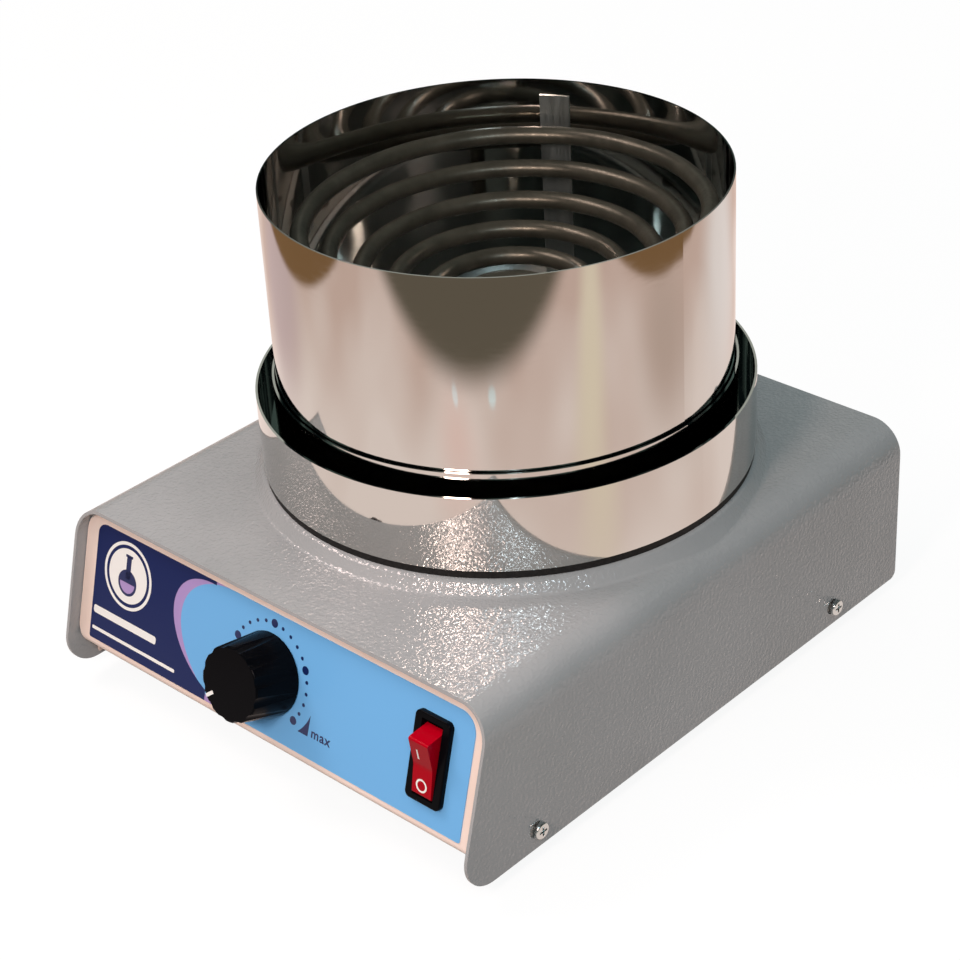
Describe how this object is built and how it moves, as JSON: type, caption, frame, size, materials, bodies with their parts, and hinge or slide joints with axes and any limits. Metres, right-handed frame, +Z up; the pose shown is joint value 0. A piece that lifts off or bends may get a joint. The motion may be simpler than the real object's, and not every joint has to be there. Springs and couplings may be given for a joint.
{
  "type": "flask heating mantle",
  "caption": "Bench heater for round flasks: sloping control panel with knob and rocker, spiral element in a polished bowl shield",
  "frame": {"origin": "on the bench plane under the feet, midway between the case's sides and midway between its front and rear ends, which is also the middle of the whole object's length and width", "axes": "+Z up; +Y to the back, away from the control panel, so the panel faces -Y; +X to the right seen from the front"},
  "size_m": [0.2038, 0.2516, 0.1829],
  "materials": {
    "cover_paint": "grey hammer-texture enamel",
    "chassis_paint": "smooth cream enamel",
    "label_film": "printed polyester film, light blue, lilac and navy",
    "polished_steel": "mirror-polished stainless steel",
    "satin_steel": "satin stainless steel",
    "element_steel": "heat-darkened alloy sheath",
    "zinc_steel": "bright zinc plate",
    "nickel_brass": "nickel-plated brass",
    "black_plastic": "moulded, satin gloss",
    "red_plastic": "translucent red, gloss",
    "insulating_board": "dark heat-resistant laminate",
    "ceramic_fibre": "white ceramic fibre felt",
    "phenolic": "dark moulded phenolic",
    "white_plastic": "moulded polyamide",
    "foot_rubber": "moulded black rubber"
  },
  "bodies": {
    "case": {"cover": "cover_paint", "chassis": "chassis_paint", "panel_label": "label_film", "regulator_body": "phenolic", "regulator_washer": "zinc_steel", "regulator_nut": "nickel_brass", "switch_body": "black_plastic", "switch_tabs": "nickel_brass", "insulating_board": "insulating_board", "outer_ring": "polished_steel", "reflector_pan": "polished_steel", "tall_shield": "polished_steel", "seam_strap": "satin_steel", "insulation_pad": "ceramic_fibre", "reflector": "satin_steel", "heating_element": "element_steel", "element_pins": "nickel_brass", "element_glands": "nickel_brass", "gland_nuts": "nickel_brass", "stack_screws": "zinc_steel", "stack_spacers": "satin_steel", "heat_baffle": "satin_steel", "stack_nuts": "zinc_steel", "cover_screws": "zinc_steel", "feet": "foot_rubber", "foot_screws": "zinc_steel", "foot_nuts": "zinc_steel", "inlet_body": "black_plastic", "inlet_blades": "nickel_brass", "inlet_tabs": "nickel_brass", "inlet_screws": "zinc_steel", "inlet_nuts": "zinc_steel", "terminal_block": "white_plastic", "terminal_screws": "zinc_steel", "earth_screw": "zinc_steel", "earth_nut": "zinc_steel"},
    "regulator_spindle": {"knob": "black_plastic", "regulator_shaft": "nickel_brass"},
    "switch_rocker": {"rocker": "red_plastic"}
  },
  "joints": [
    {"name": "knob_turn", "type": "hinge", "parent": "case", "child": "regulator_spindle", "pos_m": [0, -0.10459, 0.04301], "axis": [0, 0.9613, -0.2756], "range_deg": [0, 260]},
    {"name": "rocker_swing", "type": "hinge", "parent": "case", "child": "switch_rocker", "pos_m": [0.0758, -0.10135, 0.0427], "axis": [-1, 0, 0], "range_deg": [0, 30]}
  ]
}
